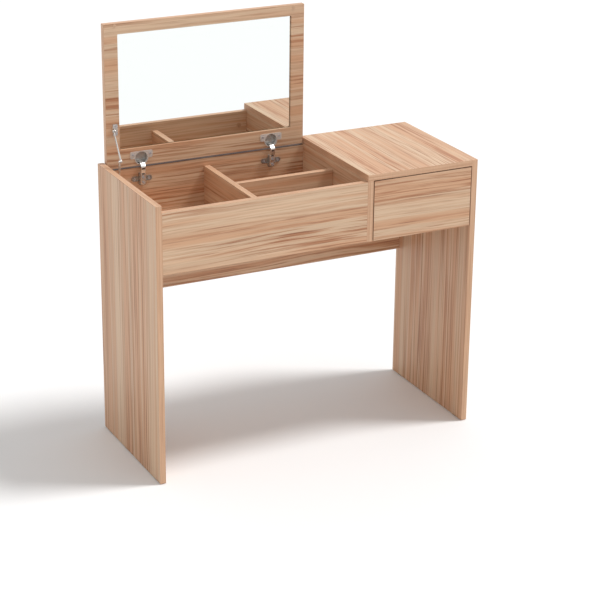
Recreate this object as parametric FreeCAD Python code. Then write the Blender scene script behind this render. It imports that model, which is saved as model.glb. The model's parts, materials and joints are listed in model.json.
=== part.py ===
"""Vanity table with a flip-up mirror lid and one drawer, as separate boards and hardware.

Millimetres, +Z up. X runs from the left side to the right side, the front faces -Y, and the origin
is on the floor under the middle of the table. The lid is modelled open, upright on its hinges.
"""

import FreeCAD, Part
import math
import os

V = FreeCAD.Vector
X_AXIS = V(1, 0, 0)
Y_AXIS = V(0, 1, 0)
Z_AXIS = V(0, 0, 1)

# ---- driving dimensions --------------------------------------------------------------------------
WIDTH = 900.0  # over the two side panels
DEPTH = 380.0  # side panel, front to rear
HEIGHT = 740.0  # floor to the table's top
BOARD = 16.0  # laminated board
EDGE_EASE = 0.6  # rounding of every board's edges
GLIDE_HEIGHT = 2.0  # foot glide under the side panels
GLIDE_RADIUS = 9.0
GLIDE_INSET = 40.0  # glide centre from the panel's front and rear edges
GLIDE_NAIL_RADIUS = 1.1
GLIDE_NAIL_LENGTH = 14.0
GLIDE_SIDE = 1.0  # glide's edge inside the panel's faces
GLIDE_BEVEL = 0.6

BAY_WIDTH = 289.0  # clear width of the drawer's bay
FRONT_HEIGHT = 160.0  # front panel and drawer front
REAR_HEIGHT = 346.0  # rear panel, below the top's underside
FLOOR_RISE = 4.0  # box floor's underside above the front panel's lower edge
TRAY_DROP = 24.0  # top edge of the inner dividers below the top's underside
CROSS_FROM_FRONT = 191.0  # front face of the cross divider from the table's front

LID_GAP = 1.8  # lid's underside above the front panel when closed
LID_SIDE_GAP = 2.0
LID_FRONT_REVEAL = 2.0
LID_REAR_REVEAL = 1.0
SWING_GAP = 3.5  # rear panel's top edge below the closed lid, for the lid's turning corner
PAD_SHARES = (0.12, 0.37, 0.63, 0.88)  # tape strips across the mirror's width
PAD_INSET = 30.0  # tape's ends from the mirror's edges
STILE = 37.0  # lid's border at the left and right of the mirror
TOP_RAIL = 28.0
BOTTOM_RAIL = 48.0
POCKET_DEPTH = 9.0  # recess that holds the mirror
POCKET_CORNER = 3.0
MIRROR_THICK = 3.0
MIRROR_BEVEL = 1.0
MIRROR_CLEAR = 0.6
PAD_THICK = 1.0  # foam tape behind the glass
PAD_WIDTH = 24.0
BUMPER_THICK = 1.5
BUMPER_RADIUS = 4.0
BUMPER_ROUND = 0.7
BUMPER_INSET = 30.0  # from the lid's ends

PIN_EDGE = 7.75  # hinge pin from the lid's rear edge
PIN_DEPTH = 9.25  # hinge pin from the lid's mirror face
PIN_RADIUS = 1.25
RUNNING_CLEAR = 0.08  # radial clearance of a turning pin
HINGE_FROM_END = 95.0  # hinge centre from the lid's ends
CUP_RADIUS = 17.5
CUP_EDGE = 3.0  # wood left between the cup's bore and the lid's edge
CUP_WALL = 0.8
CUP_DEPTH = 12.2  # inside depth of the cup
CUP_FLANGE = 1.2
CUP_RIM = 1.5  # flange outside the cup's wall
EAR_WIDTH = 62.0
EAR_HEIGHT = 19.3
EAR_OFFSET = 8.65  # ears' centre line from the cup's centre, away from the lid's edge
EAR_SCREW_OFFSET = 9.5
EAR_SCREW_SPACING = 48.0
EAR_CORNER = 4.0
CUP_SCREW_LENGTH = 12.0
CUP_SCREW_HEAD = 3.0
PIN_END_AIR = 0.1
ARM_EYE_WIDTH = 10.0  # neck's width inside the cup
ARM_WIDTH = 13.0
ARM_EYE_RADIUS = 2.6
ARM_NECK = 4.4  # thickness of the neck that reaches into the cup
ARM_LEG = 5.5  # thickness of the leg on its mounting plate
ARM_LEG_LOW = 15.0  # leg's lower end below the plate's centre
ARM_LEG_HIGH = 15.5  # leg's upper end above it
ARM_MOUTH_AIR = 3.0  # neck runs straight this far past the lid's mirror face
ARM_KNEE_OUT = 14.5  # knee in front of the lid's mirror face
ARM_KNEE_DROP = 5.8  # knee's upper bend below the pin
ARM_KNEE_HEIGHT = 12.0
ARM_BEND = 2.5  # outer radius of the arm's bends
ARM_SLOT_WIDTH = 8.0  # slots in the arm's face
ARM_SLOT_HEIGHT = 4.5
ARM_SLOT_DEPTH = 2.5
ARM_CHEEK = 0.7  # cheeks outside the arm's width
ARM_CHEEK_THICK = 1.5
ARM_CHEEK_ROUND = 1.2
ARM_CHEEK_HIGH = 12.0  # cheeks' upper end above the plate's centre
ARM_TAIL_CUT = 4.0  # corners cut from the leg's lower end
ARM_SCREWS = (-8.0, 6.5)  # from the plate's centre
ARM_SCREW_IN_PLATE = 3.0
ARM_SCREW_HEAD = 3.4
PLATE_DROP = 34.0  # mounting plate's centre below the top's underside
PLATE_WING_WIDTH = 56.0
PLATE_WING_HEIGHT = 13.0
PLATE_WING_THICK = 3.0
PLATE_WING_RIM = 1.9  # raised rim round each wing
PLATE_WING_DISH = 1.0  # depth inside the rim
PLATE_RAIL_WIDTH = 17.0
PLATE_RAIL_HEIGHT = 33.0
PLATE_RAIL_THICK = 6.0
PLATE_SCREW_SPACING = 40.0
PLATE_SCREW_LENGTH = 15.0
PLATE_WING_CORNER = 5.0
PLATE_RAIL_CORNER = 2.5

STAY_X = 14.4  # lower arm's left face from the left panel's inner face
STAY_ARM_THICK = 2.5
STAY_AIR = 0.5  # between neighbouring flat pieces of the stay
STAY_OUT = 11.0  # upper pivot in front of the lid's mirror face
STAY_UP = 103.0  # upper pivot above the lid's lower edge
STAY_REACH = 46.0  # elbow in front of the upper pivot
STAY_FALL = 67.0  # elbow below the upper pivot
STAY_WIDE = 8.0
STAY_NARROW = 5.0
STAY_RIVET_RADIUS = 1.6
STAY_HEAD_RADIUS = 3.6
STAY_HEAD_THICK = 1.0
STAY_PLATE_THICK = 2.0
STAY_EYE = 3.6  # outer radius of the upper arm's eye on the lid
STAY_COLLAR = 3.0  # collar between the two arms
STAY_LUG_RIM = 1.0  # lug outside the lower arm's half width
STAY_BASE_WIDTH = 13.0
STAY_BASE_HALF = 15.0
STAY_BASE_CORNER = 3.0
STAY_BASE_SCREW_X = 8.0
STAY_BASE_SCREW_Z = 9.5
STAY_LID_SCREW = 11.0
STAY_POST_RADIUS = 5.0
STAY_FOOT_HALF_WIDTH = 8.0
STAY_FOOT_HALF_HEIGHT = 18.0
STAY_FOOT_CORNER = 4.0
STAY_FOOT_SCREW_Z = 12.0
STAY_SIDE_SCREW = 13.0
STAY_RIVET_IN_POST = 6.0
STAY_SCREW_HEAD = 3.2

DRAWER_GAP = 2.0  # around the drawer front
DRAWER_SIDE = 12.0  # drawer box boards
DRAWER_BOX_HEIGHT = 110.0
DRAWER_BOX_LIFT = 12.0  # drawer box above the drawer front's lower edge
DRAWER_REAR_ROOM = 28.0  # behind the drawer box
DRAWER_BOTTOM = 3.0
DRAWER_BOTTOM_LIFT = 10.0
DRAWER_GROOVE = 5.0
GROOVE_CLEAR = 0.15
GROOVE_END_AIR = 1.0
DRAWER_FASTENER_LOW = 31.0  # lower fasteners from the drawer box's lower edge
DRAWER_FASTENER_HIGH = 21.0  # upper fasteners from its upper edge
DRAWER_CAM_WALL = 1.5  # wood behind a drawer cam lock
DRAWER_SCREW_LENGTH = 32.0
SLIDE_WIDTH = 12.7  # side space that one slide takes
SLIDE_STEP = 50.0  # slides come in lengths of whole steps
SLIDE_REAR_ROOM = 10.0  # at least, behind a slide
SLIDE_BEHIND_FRONT = 2.0  # slide's front end behind the drawer front
SLIDE_LIFT = 45.0  # slide's centre above the drawer box's lower edge
SLIDE_HEIGHT = 35.0
SLIDE_STEEL = 1.2
SLIDE_WEB_AIR = 1.0
BALL_RADIUS = 1.4
BALL_AIR = 0.3
BALLS_IN_ROW = 5
BALL_END = 12.0  # first and last ball from the ends of their half of the slide
SLIDE_SCREW_RADIUS = 1.7
SLIDE_SCREW_HEAD_RADIUS = 3.0
SLIDE_SCREW_HEAD_THICK = 0.9
SLIDE_HEAD_AIR = 0.1
SLIDE_CABINET_SCREW = 12.0
SLIDE_DRAWER_SCREW = 8.0
SLIDE_CABINET_SHARES = (0.12, 0.5, 0.88)  # of the slide's length
SLIDE_DRAWER_SHARES = (0.2, 0.8)

CAM_RADIUS = 7.4
CAM_HEIGHT = 12.5
CAM_FROM_END = 24.0
CAM_BOLT_RADIUS = 3.0
CAM_BOLT_THREAD = 2.5
CAM_BOLT_IN_HOST = 10.0
CAM_AIR = 0.3
CAM_CROSS = (8.0, 1.6, 1.5)  # length, width and depth of a cam lock's cross recess
HOLE_CLEAR = 0.1
DOWEL_RADIUS = 4.0
DOWEL_IN_HOST = 10.0
DOWEL_IN_PANEL = 20.0
DOWEL_END_AIR = 1.0
DOWEL_BEVEL = 1.0
SCREW_RADIUS = 1.9
SCREW_HEAD_RADIUS = 3.6
SCREW_HEAD_THICK = 1.0
SCREW_CROSS = (4.0, 0.8, 0.7)  # length, width and depth of a screw's cross recess
CORNER_JOINT = 60.0  # joints of lying boards from the board's front and rear
PANEL_JOINT = 40.0  # joints of upright boards from their edges
FRONT_JOINT = 30.0  # lower joint of the front panel below its middle
FRONT_DOWEL = 10.0  # its dowel above its middle
DIVIDER_JOINT = 90.0
DIVIDER_DOWEL_DROP = 100.0
TRAY_DOWEL = 25.0

# ---- planes worked out from them -----------------------------------------------------------------
LEFT = -WIDTH / 2
RIGHT = WIDTH / 2
FRONT = -DEPTH / 2
REAR = DEPTH / 2
IN_LEFT = LEFT + BOARD
IN_RIGHT = RIGHT - BOARD
REAR_IN = REAR - BOARD
FRONT_IN = FRONT + BOARD
UNDER_TOP = HEIGHT - BOARD
DIVIDER_RIGHT = IN_RIGHT - BAY_WIDTH
DIVIDER_LEFT = DIVIDER_RIGHT - BOARD
PANEL_TOP = UNDER_TOP - LID_GAP
PANEL_LOW = PANEL_TOP - FRONT_HEIGHT
REAR_LOW = UNDER_TOP - REAR_HEIGHT
REAR_TOP = UNDER_TOP - SWING_GAP
FLOOR_LOW = PANEL_LOW + FLOOR_RISE
FLOOR_TOP = FLOOR_LOW + BOARD
TRAY_TOP = UNDER_TOP - TRAY_DROP
TRAY_LEFT = (IN_LEFT + DIVIDER_LEFT - BOARD) / 2
TRAY_RIGHT = TRAY_LEFT + BOARD
CROSS_FRONT = FRONT + CROSS_FROM_FRONT
CROSS_REAR = CROSS_FRONT + BOARD

LID_LEFT = IN_LEFT + LID_SIDE_GAP
LID_RIGHT = DIVIDER_LEFT - LID_SIDE_GAP
LID_LENGTH = DEPTH - LID_FRONT_REVEAL - LID_REAR_REVEAL
PIN_Y = REAR - LID_REAR_REVEAL - PIN_EDGE
PIN_Z = UNDER_TOP + PIN_DEPTH
LID_FACE = PIN_Y - PIN_DEPTH  # the mirror side, when open
LID_BACK = LID_FACE + BOARD
LID_LOW = PIN_Z - PIN_EDGE
LID_HIGH = LID_LOW + LID_LENGTH
HINGE_XS = (LID_LEFT + HINGE_FROM_END, LID_RIGHT - HINGE_FROM_END)
CUP_Z = LID_LOW + CUP_EDGE + CUP_RADIUS
CUP_FLANGE_RADIUS = CUP_RADIUS + CUP_RIM
PLATE_Z = UNDER_TOP - PLATE_DROP

STAY_A = (LID_FACE - STAY_OUT, LID_LOW + STAY_UP)  # on the lid
STAY_E = (STAY_A[0] - STAY_REACH, STAY_A[1] - STAY_FALL)  # elbow
STAY_B = (PIN_Y - STAY_REACH, PIN_Z - STAY_FALL)  # on the left panel

SLIDE_FRONT = FRONT + BOARD + SLIDE_BEHIND_FRONT
SLIDE_ROOM = REAR_IN - SLIDE_FRONT - SLIDE_REAR_ROOM
SLIDE_LENGTH = SLIDE_STEP * math.floor(SLIDE_ROOM / SLIDE_STEP)
DRAWER_BOX_DEPTH = DEPTH - 2 * BOARD - DRAWER_REAR_ROOM
SLIDE_Z = PANEL_LOW + DRAWER_BOX_LIFT + SLIDE_LIFT

TINY = 0.01  # tolerance in picking edges

nodes = {}
holes = {}


# ---- small makers --------------------------------------------------------------------------------
def box(x0, x1, y0, y1, z0, z1):
    return Part.makeBox(x1 - x0, y1 - y0, z1 - z0, V(x0, y0, z0))


def rod(start, axis, length, radius):
    return Part.makeCylinder(radius, length, start, axis)


def board(name, x0, x1, y0, y1, z0, z1):
    """A laminated board with eased edges, as a node of its own."""
    raw = box(x0, x1, y0, y1, z0, z1)
    nodes[name] = raw.makeFillet(EDGE_EASE, raw.Edges)
    holes[name] = []


def bore(name, tool):
    holes[name].append(tool)


def group(name, solids):
    nodes[name] = Part.makeCompound(solids)


def edges_along_y(solid, length):
    """The straight edges of a block that run its full depth along Y."""
    return [e for e in solid.Edges if abs(e.BoundBox.YLength - length) < TINY]


def bar(ends, radii, x0, thick):
    """A flat bar in a YZ plane with round ends of its own radii, from x0 towards +X."""
    (y0, z0), (y1, z1) = ends
    r0, r1 = radii
    length = math.hypot(y1 - y0, z1 - z0)
    along = V(0, (y1 - y0) / length, (z1 - z0) / length)
    lean = math.asin((r0 - r1) / length)
    side = V(0, -along.z, along.y)
    first = V(x0, y0, z0)
    last = V(x0, y1, z1)
    up = side * math.cos(lean) + along * math.sin(lean)
    down = side * -math.cos(lean) + along * math.sin(lean)
    outline = Part.Wire([
        Part.LineSegment(first + up * r0, last + up * r1).toShape(),
        Part.Arc(last + up * r1, last + along * r1, last + down * r1).toShape(),
        Part.LineSegment(last + down * r1, first + down * r0).toShape(),
        Part.Arc(first + down * r0, first - along * r0, first + up * r0).toShape(),
    ])
    return Part.Face(outline).extrude(V(thick, 0, 0))


def cross_recess(centre, out, side, sizes):
    """The two crossing slots of a driver recess that opens at `centre` towards `out`."""
    long, wide, deep = sizes
    other = out.cross(side)
    slots = []
    for across, along in ((side, other), (other, side)):
        corner = centre - out * deep - across * (long / 2) - along * (wide / 2)
        edges = [corner, corner + across * long, corner + across * long + along * wide, corner + along * wide]
        slots.append(Part.Face(Part.makePolygon(edges + [corner])).extrude(out * (2 * deep)))
    return slots


def cam_joint(panel, host, at, into, face, height=CAM_HEIGHT, half=BOARD / 2):
    """Cam lock in `panel` and its bolt from `host`. `at` is on the panel's end face, on the bolt's axis,
    and `face` points to the side of the panel that the lock opens on, `half` a board away."""
    start = at - into * CAM_BOLT_IN_HOST
    thread = rod(start, into, CAM_BOLT_IN_HOST, CAM_BOLT_THREAD)
    bolt = thread.fuse(rod(at, into, CAM_FROM_END, CAM_BOLT_RADIUS)).removeSplitter()
    centre = at + into * CAM_FROM_END
    rim = centre + face * half
    body = rod(rim, face * -1, height, CAM_RADIUS)
    way = rod(at, into, CAM_FROM_END + CAM_AIR, CAM_BOLT_RADIUS + CAM_AIR)
    cam = body.cut([way] + cross_recess(rim, face, into, CAM_CROSS))
    bore(panel, rod(rim, face * -1, height + HOLE_CLEAR, CAM_RADIUS + HOLE_CLEAR))
    bore(panel, rod(at, into, CAM_FROM_END, CAM_BOLT_RADIUS + CAM_AIR))
    bore(host, rod(start, into, CAM_BOLT_IN_HOST + HOLE_CLEAR, CAM_BOLT_THREAD + HOLE_CLEAR))
    return cam, bolt


def dowel(panel, host, at, into):
    """A wooden dowel across the joint face at `at`, with a hole in both boards."""
    start = at - into * DOWEL_IN_HOST
    length = DOWEL_IN_HOST + DOWEL_IN_PANEL
    pin = rod(start, into, length, DOWEL_RADIUS)
    pin = pin.makeChamfer(DOWEL_BEVEL, [e for e in pin.Edges if e.Curve.TypeId == "Part::GeomCircle"])
    hole = rod(start - into * DOWEL_END_AIR, into, length + 2 * DOWEL_END_AIR, DOWEL_RADIUS + HOLE_CLEAR)
    bore(panel, hole)
    bore(host, hole)
    return pin


def screw(at, into, length, head=SCREW_HEAD_RADIUS):
    """A screw whose head's underside is at `at`; the head stands out against `into`."""
    shank = rod(at, into, length, SCREW_RADIUS)
    top = rod(at - into * SCREW_HEAD_THICK, into, SCREW_HEAD_THICK, head)
    side = X_AXIS if abs(into.x) < 0.5 else Y_AXIS
    recess = cross_recess(at - into * SCREW_HEAD_THICK, into * -1, side, SCREW_CROSS)
    return top.fuse(shank).removeSplitter().cut(recess)


def screw_hole(at, into, length):
    return rod(at, into, length + HOLE_CLEAR, SCREW_RADIUS + HOLE_CLEAR)


# ---- carcass -------------------------------------------------------------------------------------
def carcass():
    board("left_side_panel", LEFT, IN_LEFT, FRONT, REAR, GLIDE_HEIGHT, HEIGHT)
    board("right_side_panel", IN_RIGHT, RIGHT, FRONT, REAR, GLIDE_HEIGHT, HEIGHT)
    board("drawer_top", DIVIDER_LEFT, IN_RIGHT, FRONT, REAR, UNDER_TOP, HEIGHT)
    board("drawer_divider", DIVIDER_LEFT, DIVIDER_RIGHT, FRONT, REAR_IN, PANEL_LOW, UNDER_TOP)
    board("front_panel", IN_LEFT, DIVIDER_LEFT, FRONT, FRONT_IN, PANEL_LOW, PANEL_TOP)
    board("rear_panel", IN_LEFT, IN_RIGHT, REAR_IN, REAR, REAR_LOW, UNDER_TOP)
    relief = box(IN_LEFT - 1, DIVIDER_LEFT, REAR_IN - 1, REAR + 1, REAR_TOP, UNDER_TOP + 1)
    bore("rear_panel", relief)
    board("box_floor", IN_LEFT, DIVIDER_LEFT, FRONT_IN, REAR_IN, FLOOR_LOW, FLOOR_TOP)
    board("long_tray_divider", TRAY_LEFT, TRAY_RIGHT, FRONT_IN, REAR_IN, FLOOR_TOP, TRAY_TOP)
    board("cross_tray_divider", TRAY_RIGHT, DIVIDER_LEFT, CROSS_FRONT, CROSS_REAR, FLOOR_TOP, TRAY_TOP)


def foot_glides():
    solids = []
    for x, side in ((LEFT + BOARD / 2, "left_side_panel"), (RIGHT - BOARD / 2, "right_side_panel")):
        for y in (FRONT + GLIDE_INSET, REAR - GLIDE_INSET):
            half = BOARD / 2 - GLIDE_SIDE
            pad = box(x - half, x + half, y - GLIDE_RADIUS, y + GLIDE_RADIUS, 0, GLIDE_HEIGHT)
            pad = pad.makeChamfer(GLIDE_BEVEL, [e for e in pad.Edges if e.BoundBox.ZMax < TINY])
            nail = rod(V(x, y, GLIDE_HEIGHT), Z_AXIS, GLIDE_NAIL_LENGTH, GLIDE_NAIL_RADIUS)
            solids.append(pad.fuse(nail))
            nail_end = GLIDE_HEIGHT + GLIDE_NAIL_LENGTH + HOLE_CLEAR
            bore(side, rod(V(x, y, 0), Z_AXIS, nail_end, GLIDE_NAIL_RADIUS + HOLE_CLEAR))
    group("foot_glides", solids)


def carcass_joints():
    """Cam locks, their bolts and the dowels between the boards."""
    cams = []
    bolts = []
    dowels = []

    def lock(panel, host, at, into, face):
        cam, bolt = cam_joint(panel, host, at, into, face)
        cams.append(cam)
        bolts.append(bolt)

    left = X_AXIS * -1
    down = Z_AXIS * -1
    forward = Y_AXIS * -1
    front_mid = FRONT + BOARD / 2
    rear_mid = REAR - BOARD / 2
    panel_mid = (PANEL_LOW + PANEL_TOP) / 2
    front_ends = ((IN_LEFT, "left_side_panel", X_AXIS), (DIVIDER_LEFT, "drawer_divider", left))
    for x, host, into in front_ends:
        for z in (PANEL_TOP - PANEL_JOINT, panel_mid - FRONT_JOINT):
            lock("front_panel", host, V(x, front_mid, z), into, Y_AXIS)
        dowels.append(dowel("front_panel", host, V(x, front_mid, panel_mid + FRONT_DOWEL), into))
        for y in (FRONT_IN + CORNER_JOINT, REAR_IN - CORNER_JOINT):
            lock("box_floor", host, V(x, y, FLOOR_LOW + BOARD / 2), into, Z_AXIS * -1)
        dowels.append(dowel("box_floor", host, V(x, 0, FLOOR_LOW + BOARD / 2), into))

    rear_span = REAR_TOP - REAR_LOW
    rear_ends = ((IN_LEFT, "left_side_panel", X_AXIS), (IN_RIGHT, "right_side_panel", left))
    for x, host, into in rear_ends:
        for z in (REAR_LOW + PANEL_JOINT, REAR_LOW + rear_span / 2, REAR_TOP - PANEL_JOINT):
            lock("rear_panel", host, V(x, rear_mid, z), into, Y_AXIS)
        for z in (REAR_LOW + rear_span / 4, REAR_TOP - rear_span / 4):
            dowels.append(dowel("rear_panel", host, V(x, rear_mid, z), into))

    top_mid = HEIGHT - BOARD / 2
    for y in (FRONT + CORNER_JOINT, REAR - CORNER_JOINT):
        lock("drawer_top", "right_side_panel", V(IN_RIGHT, y, top_mid), left, down)
    dowels.append(dowel("drawer_top", "right_side_panel", V(IN_RIGHT, 0, top_mid), left))

    divider_mid = DIVIDER_LEFT + BOARD / 2
    for y in (FRONT + DIVIDER_JOINT, REAR_IN - DIVIDER_JOINT):
        lock("drawer_divider", "drawer_top", V(divider_mid, y, UNDER_TOP), down, X_AXIS)
    dowel_y = FRONT + CORNER_JOINT
    dowels.append(dowel("drawer_divider", "drawer_top", V(divider_mid, dowel_y, UNDER_TOP), down))
    lock("drawer_divider", "rear_panel", V(divider_mid, REAR_IN, UNDER_TOP - CORNER_JOINT), forward, X_AXIS)
    low = UNDER_TOP - DIVIDER_DOWEL_DROP
    dowels.append(dowel("drawer_divider", "rear_panel", V(divider_mid, REAR_IN, low), forward))
    for x in (DIVIDER_RIGHT + BAY_WIDTH / 3, IN_RIGHT - BAY_WIDTH / 3):
        dowels.append(dowel("rear_panel", "drawer_top", V(x, rear_mid, UNDER_TOP), down))

    tray_mid = TRAY_LEFT + BOARD / 2
    cross_mid = CROSS_FRONT + BOARD / 2
    tray_joints = (
        ("long_tray_divider", "front_panel", tray_mid, FRONT_IN, Y_AXIS),
        ("long_tray_divider", "rear_panel", tray_mid, REAR_IN, forward),
        ("cross_tray_divider", "long_tray_divider", TRAY_RIGHT, cross_mid, X_AXIS),
        ("cross_tray_divider", "drawer_divider", DIVIDER_LEFT, cross_mid, left),
    )
    for z in (FLOOR_TOP + TRAY_DOWEL, TRAY_TOP - TRAY_DOWEL):
        for panel, host, x, y, into in tray_joints:
            dowels.append(dowel(panel, host, V(x, y, z), into))

    group("cam_locks", cams)
    group("cam_bolts", bolts)
    group("wood_dowels", dowels)


# ---- lid -----------------------------------------------------------------------------------------
def lid():
    board("lid_board", LID_LEFT, LID_RIGHT, LID_FACE, LID_BACK, LID_LOW, LID_HIGH)
    x0 = LID_LEFT + STILE
    x1 = LID_RIGHT - STILE
    z0 = LID_LOW + BOTTOM_RAIL
    z1 = LID_HIGH - TOP_RAIL
    pocket = box(x0, x1, LID_FACE - 1, LID_FACE + POCKET_DEPTH, z0, z1)
    pocket = pocket.makeFillet(POCKET_CORNER, edges_along_y(pocket, POCKET_DEPTH + 1))
    bore("lid_board", pocket)

    glass_back = LID_FACE + POCKET_DEPTH - PAD_THICK
    c = MIRROR_CLEAR
    glass_face = glass_back - MIRROR_THICK
    glass = box(x0 + c, x1 - c, glass_face, glass_back, z0 + c, z1 - c)
    glass = glass.makeFillet(POCKET_CORNER, edges_along_y(glass, MIRROR_THICK))
    rim = [e for e in glass.Edges if e.BoundBox.YMax < glass_face + TINY]
    nodes["mirror_glass"] = glass.makeChamfer(MIRROR_BEVEL, rim)

    pads = []
    pad_back = glass_back + PAD_THICK
    for share in PAD_SHARES:
        x = x0 + (x1 - x0) * share
        left = x - PAD_WIDTH / 2
        pads.append(box(left, left + PAD_WIDTH, glass_back, pad_back, z0 + PAD_INSET, z1 - PAD_INSET))
    group("mirror_tape", pads)

    dots = []
    for x in (LID_LEFT + BUMPER_INSET, LID_RIGHT - BUMPER_INSET):
        z = LID_HIGH + LID_FRONT_REVEAL - BOARD / 2
        dot = rod(V(x, LID_FACE, z), Y_AXIS * -1, BUMPER_THICK, BUMPER_RADIUS)
        rim = [e for e in dot.Edges if e.BoundBox.YMax < LID_FACE - BUMPER_THICK + TINY]
        dots.append(dot.makeFillet(BUMPER_ROUND, rim))
    group("lid_bumpers", dots)


# ---- hinges --------------------------------------------------------------------------------------
def hinge_cup(name, x):
    """Drawn steel cup with its flange and two screw ears, set into the lid's mirror face."""
    face = V(x, LID_FACE, CUP_Z)
    cup = rod(face, Y_AXIS, CUP_DEPTH + CUP_WALL, CUP_RADIUS)
    ear_z = CUP_Z + EAR_OFFSET
    half = EAR_WIDTH / 2
    low = ear_z - EAR_HEIGHT / 2
    high = ear_z + EAR_HEIGHT / 2
    ears = box(x - half, x + half, LID_FACE - CUP_FLANGE, LID_FACE, low, high)
    ears = ears.makeFillet(EAR_CORNER, edges_along_y(ears, CUP_FLANGE))
    flange = rod(face - Y_AXIS * CUP_FLANGE, Y_AXIS, CUP_FLANGE, CUP_FLANGE_RADIUS)
    flange = flange.cut(box(x - half, x + half, LID_FACE - 2 * CUP_FLANGE, REAR, high, high + half))
    solid = cup.fuse([flange, ears]).removeSplitter()
    room = rod(face - Y_AXIS * (2 * CUP_FLANGE), Y_AXIS, 2 * CUP_FLANGE + CUP_DEPTH, CUP_RADIUS - CUP_WALL)
    pin_seat = rod(V(x - CUP_RADIUS, PIN_Y, PIN_Z), X_AXIS, 2 * CUP_RADIUS, PIN_RADIUS)
    cuts = [room, pin_seat]
    screws = []
    for side in (-1, 1):
        at = V(x + side * EAR_SCREW_SPACING / 2, LID_FACE - CUP_FLANGE, CUP_Z + EAR_SCREW_OFFSET)
        screws.append(screw(at, Y_AXIS, CUP_SCREW_LENGTH, head=CUP_SCREW_HEAD))
        hole = screw_hole(at, Y_AXIS, CUP_SCREW_LENGTH)
        cuts.append(hole)
        bore("lid_board", hole)
    nodes[name] = solid.cut(cuts)
    bore("lid_board", rod(face, Y_AXIS, CUP_DEPTH + CUP_WALL + HOLE_CLEAR, CUP_RADIUS + HOLE_CLEAR))
    return screws


def pin_half_length():
    """How far the pin runs each side of the cup's centre, ending inside the cup's round wall."""
    offset = CUP_Z - PIN_Z
    return math.sqrt(CUP_RADIUS ** 2 - (offset + PIN_RADIUS) ** 2) - PIN_END_AIR


def bent_strip(points, thick):
    """Corners of a strip of this thickness in the YZ plane: `points` along its outer side, and then the
    corners of its inner side, mitred, on the left of the way that the points run."""
    inner = []
    for i, (y, z) in enumerate(points):
        before = points[max(i - 1, 0):i + 1] if i else points[:2]
        after = points[i:i + 2] if i + 1 < len(points) else points[-2:]
        normals = []
        for (y0, z0), (y1, z1) in (before, after):
            run = math.hypot(y1 - y0, z1 - z0)
            normals.append(((z0 - z1) / run, (y1 - y0) / run))
        (ny, nz), (my, mz) = normals
        reach = thick / (1 + ny * my + nz * mz)
        inner.append((y + (ny + my) * reach, z + (nz + mz) * reach))
    return list(points) + inner[::-1]


def arm_neck(x, width, points):
    """The arm's bent strip at this width, with its outer bends rounded."""
    corners = [V(x - width / 2, y, z) for y, z in bent_strip(points, ARM_NECK)]
    block = Part.Face(Part.makePolygon(corners + corners[:1])).extrude(V(width, 0, 0))
    bends = []
    for y, z in points[1:-1]:
        for e in block.Edges:
            b = e.BoundBox
            if max(b.XMax - b.XMin - width, b.YLength, b.ZLength, abs(b.YMin - y), abs(b.ZMin - z)) < TINY:
                bends.append(e)
    return block.makeFillet(ARM_BEND, bends)


def hinge_arm(name, x):
    """Goose-neck arm: an eye on the pin, a neck out of the cup's mouth, a knee and a leg on its plate."""
    leg_rear = REAR_IN - PLATE_RAIL_THICK
    leg_front = leg_rear - ARM_LEG
    low = PLATE_Z - ARM_LEG_LOW
    high = PLATE_Z + ARM_LEG_HIGH
    top = PIN_Z + ARM_NECK / 2
    knee_y = LID_FACE - ARM_KNEE_OUT
    knee_high = PIN_Z - ARM_KNEE_DROP
    knee_low = knee_high - ARM_KNEE_HEIGHT
    outer = [(PIN_Y, top), (LID_FACE - ARM_MOUTH_AIR, top), (knee_y, knee_high), (knee_y, knee_low),
             (leg_front, high), (leg_front, PLATE_Z)]
    narrow = arm_neck(x, ARM_EYE_WIDTH, outer)
    wide = arm_neck(x, ARM_WIDTH, outer)
    mouth = LID_FACE - ARM_MOUTH_AIR
    wide = wide.cut(box(x - ARM_WIDTH, x + ARM_WIDTH, mouth, REAR, knee_low, PIN_Z + ARM_WIDTH))
    x0 = x - ARM_EYE_WIDTH / 2
    eye = rod(V(x0, PIN_Y, PIN_Z), X_AXIS, ARM_EYE_WIDTH, ARM_EYE_RADIUS)
    half_width = ARM_WIDTH / 2 + ARM_CHEEK
    cheek_face = leg_front - ARM_CHEEK_THICK
    leg = box(x - half_width, x + half_width, cheek_face, leg_rear, low, PLATE_Z + ARM_CHEEK_HIGH)
    tail = [e for e in edges_along_y(leg, leg_rear - cheek_face) if e.BoundBox.ZMax < low + TINY]
    leg = leg.makeChamfer(ARM_TAIL_CUT, tail)
    rim = [e for e in leg.Edges if e.BoundBox.YMax < cheek_face + TINY]
    leg = leg.makeFillet(ARM_CHEEK_ROUND, rim)
    solid = narrow.fuse([wide, eye, leg]).removeSplitter()
    cuts = [rod(V(x0 - 1, PIN_Y, PIN_Z), X_AXIS, ARM_EYE_WIDTH + 2, PIN_RADIUS + RUNNING_CLEAR)]
    half_slot = ARM_SLOT_WIDTH / 2
    slot_z = knee_low + ARM_BEND
    cuts.append(box(x - half_slot, x + half_slot, knee_y - 1, knee_y + ARM_SLOT_DEPTH,
                    slot_z, slot_z + ARM_SLOT_HEIGHT))
    cuts.append(box(x - half_slot, x + half_slot, knee_y - 1, leg_front,
                    high - ARM_SLOT_HEIGHT / 2, high + ARM_SLOT_HEIGHT / 2))
    screws = []
    through = ARM_LEG + ARM_CHEEK_THICK + ARM_SCREW_IN_PLATE
    for dz in ARM_SCREWS:
        at = V(x, cheek_face, PLATE_Z + dz)
        screws.append(screw(at, Y_AXIS, through, head=ARM_SCREW_HEAD))
        cuts.append(screw_hole(at, Y_AXIS, through))
    nodes[name] = solid.cut(cuts)
    return screws


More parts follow.
